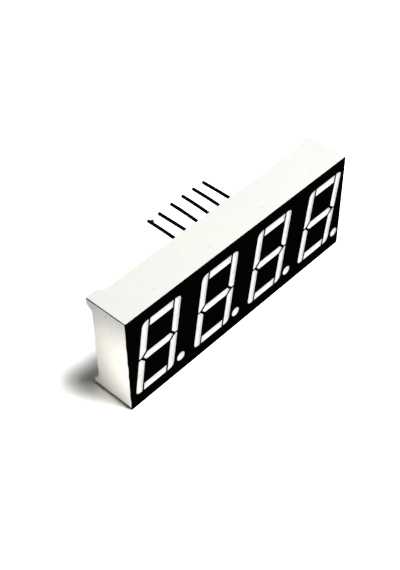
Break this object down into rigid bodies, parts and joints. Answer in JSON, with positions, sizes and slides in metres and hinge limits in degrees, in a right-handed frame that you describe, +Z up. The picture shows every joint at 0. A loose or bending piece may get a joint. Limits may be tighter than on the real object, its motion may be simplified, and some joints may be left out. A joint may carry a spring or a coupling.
{
  "type": "seven segment display module",
  "caption": "White moulded display module with a black printed face, slanted segmented digits with decimal points, corner feet and rows of round pins.",
  "frame": {"origin": "middle of the long lower side that the module stands on", "axes": "+X along the row of digits towards their right, -Y is the way the printed face looks, +Y is the way the pins leave, +Z up across the digits"},
  "size_m": [0.0502, 0.0144, 0.019],
  "materials": {
    "housing_plastic": "satin white moulded plastic",
    "face_ink": "matt black printed ink",
    "diffused_resin": "milky cast resin",
    "board_laminate": "green solder mask on glass laminate",
    "board_copper": "copper under green solder mask",
    "solder": "tin solder",
    "potting_resin": "hazy cast resin",
    "led_crystal": "diced crystal",
    "bond_wire": "drawn wire",
    "pin_metal": "drawn wire, tinned and dulled"
  },
  "bodies": {
    "root": {"housing": "housing_plastic", "front_print": "face_ink", "circuit_board": "board_laminate", "copper_tracks": "board_copper", "solder_joints": "solder", "rear_potting": "potting_resin", "digit_1_segment_a": "diffused_resin", "digit_1_segment_b": "diffused_resin", "digit_1_segment_c": "diffused_resin", "digit_1_segment_d": "diffused_resin", "digit_1_segment_e": "diffused_resin", "digit_1_segment_f": "diffused_resin", "digit_1_segment_g": "diffused_resin", "digit_2_segment_a": "diffused_resin", "digit_2_segment_b": "diffused_resin", "digit_2_segment_c": "diffused_resin", "digit_2_segment_d": "diffused_resin", "digit_2_segment_e": "diffused_resin", "digit_2_segment_f": "diffused_resin", "digit_2_segment_g": "diffused_resin", "digit_3_segment_a": "diffused_resin", "digit_3_segment_b": "diffused_resin", "digit_3_segment_c": "diffused_resin", "digit_3_segment_d": "diffused_resin", "digit_3_segment_e": "diffused_resin", "digit_3_segment_f": "diffused_resin", "digit_3_segment_g": "diffused_resin", "digit_4_segment_a": "diffused_resin", "digit_4_segment_b": "diffused_resin", "digit_4_segment_c": "diffused_resin", "digit_4_segment_d": "diffused_resin", "digit_4_segment_e": "diffused_resin", "digit_4_segment_f": "diffused_resin", "digit_4_segment_g": "diffused_resin", "digit_1_decimal_point": "diffused_resin", "digit_2_decimal_point": "diffused_resin", "digit_3_decimal_point": "diffused_resin", "digit_4_decimal_point": "diffused_resin", "digit_1_led_chips": "led_crystal", "digit_2_led_chips": "led_crystal", "digit_3_led_chips": "led_crystal", "digit_4_led_chips": "led_crystal", "digit_1_bond_wires": "bond_wire", "digit_2_bond_wires": "bond_wire", "digit_3_bond_wires": "bond_wire", "digit_4_bond_wires": "bond_wire", "pin_1": "pin_metal", "pin_2": "pin_metal", "pin_3": "pin_metal", "pin_4": "pin_metal", "pin_5": "pin_metal", "pin_6": "pin_metal", "pin_7": "pin_metal", "pin_8": "pin_metal", "pin_9": "pin_metal", "pin_10": "pin_metal", "pin_11": "pin_metal", "pin_12": "pin_metal"}
  },
  "joints": []
}
